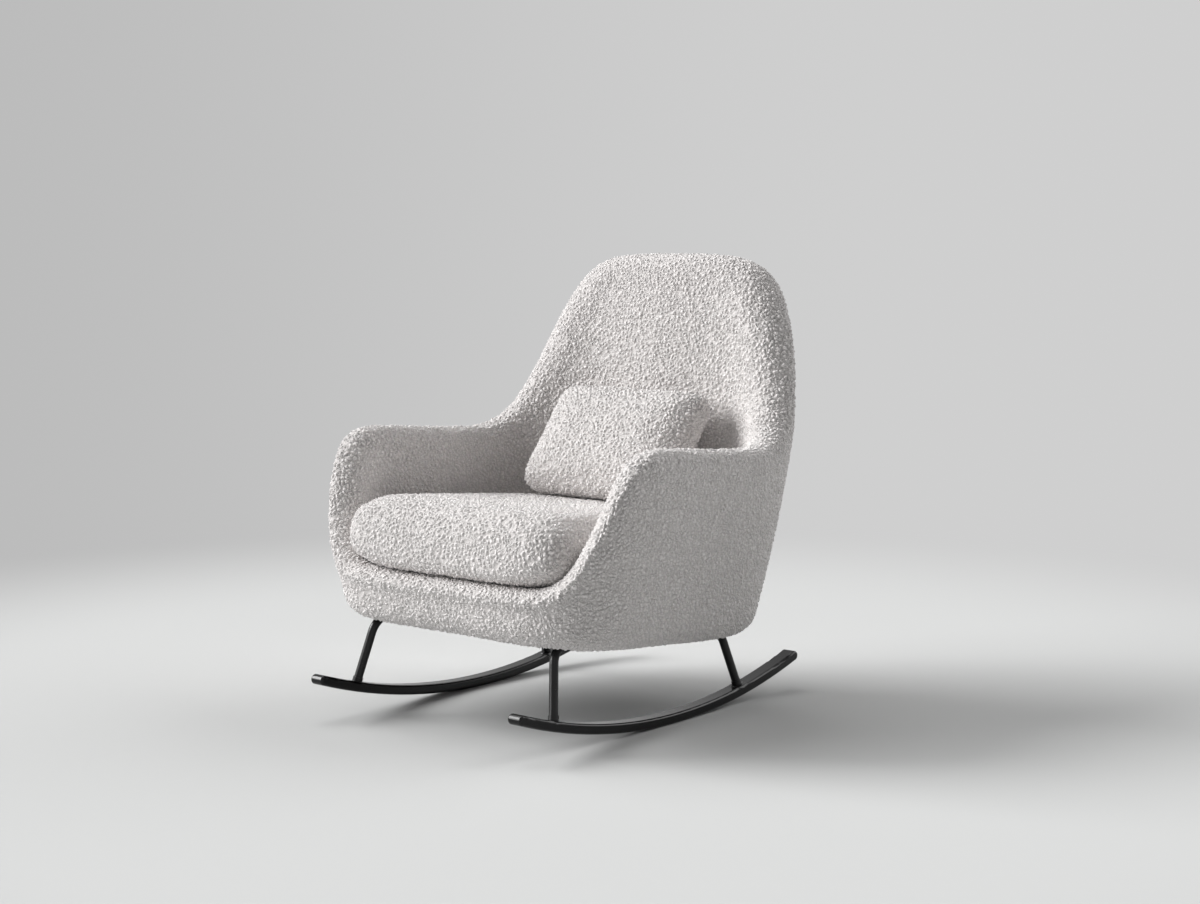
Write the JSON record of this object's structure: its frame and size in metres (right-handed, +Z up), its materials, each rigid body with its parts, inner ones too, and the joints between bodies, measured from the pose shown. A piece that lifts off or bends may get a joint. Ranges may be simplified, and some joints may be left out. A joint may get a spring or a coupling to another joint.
{
  "type": "upholstered rocking chair",
  "caption": "Upholstered tub rocking chair with arms and a high rounded back, a loose seat cushion and lumbar pillow, on bent steel side frames over curved black runners.",
  "frame": {"origin": "on the floor, on the chair's mid-plane, under the middle of the runners' length", "axes": "+Z up, the sitter faces -Y, +X is at the left hand of someone sitting in the chair"},
  "size_m": [0.8564, 0.908, 0.9508],
  "materials": {
    "boucle": "matte",
    "foam": "matte",
    "fibre_filling": "matte",
    "dust_cloth": "matte",
    "black_lacquer": "gloss",
    "plywood": "matte",
    "black_steel": "satin",
    "zinc_steel": "satin"
  },
  "bodies": {
    "chair": {"runner_screws": "zinc_steel", "runner_left": "black_lacquer", "runner_right": "black_lacquer", "side_frame_left": "black_steel", "side_frame_right": "black_steel", "leg_foot_front_left": "black_steel", "leg_foot_front_right": "black_steel", "leg_foot_rear_left": "black_steel", "leg_foot_rear_right": "black_steel", "tub_cover": "boucle", "foam_arm_left": "foam", "foam_arm_right": "foam", "foam_front_rail": "foam", "foam_back": "foam", "arm_and_back_hoop": "zinc_steel", "back_post_left": "zinc_steel", "back_post_right": "zinc_steel", "seat_rail_front": "plywood", "seat_rail_back": "plywood", "seat_rail_left": "plywood", "seat_rail_right": "plywood", "hoop_pins": "zinc_steel", "corner_blocks": "plywood", "tee_nuts": "zinc_steel", "seat_springs": "zinc_steel", "spring_clips": "zinc_steel", "deck_pad": "foam", "dust_cover": "dust_cloth", "front_cross_bar": "black_steel", "rear_cross_bar": "black_steel", "mount_spacers": "black_steel", "base_bolts": "zinc_steel"},
    "seat_cushion": {"seat_cushion_cover": "boucle", "seat_cushion_core": "foam"},
    "pillow": {"pillow_cover": "boucle", "pillow_filling": "fibre_filling"}
  },
  "joints": [
    {"name": "seat_cushion_lift", "type": "slide", "parent": "chair", "child": "seat_cushion", "axis": [0, 0.0872, 0.9962], "range_m": [0, 0.35]},
    {"name": "pillow_lift", "type": "slide", "parent": "seat_cushion", "child": "pillow", "axis": [0, -0.5, 0.866], "range_m": [0, 0.3]}
  ]
}
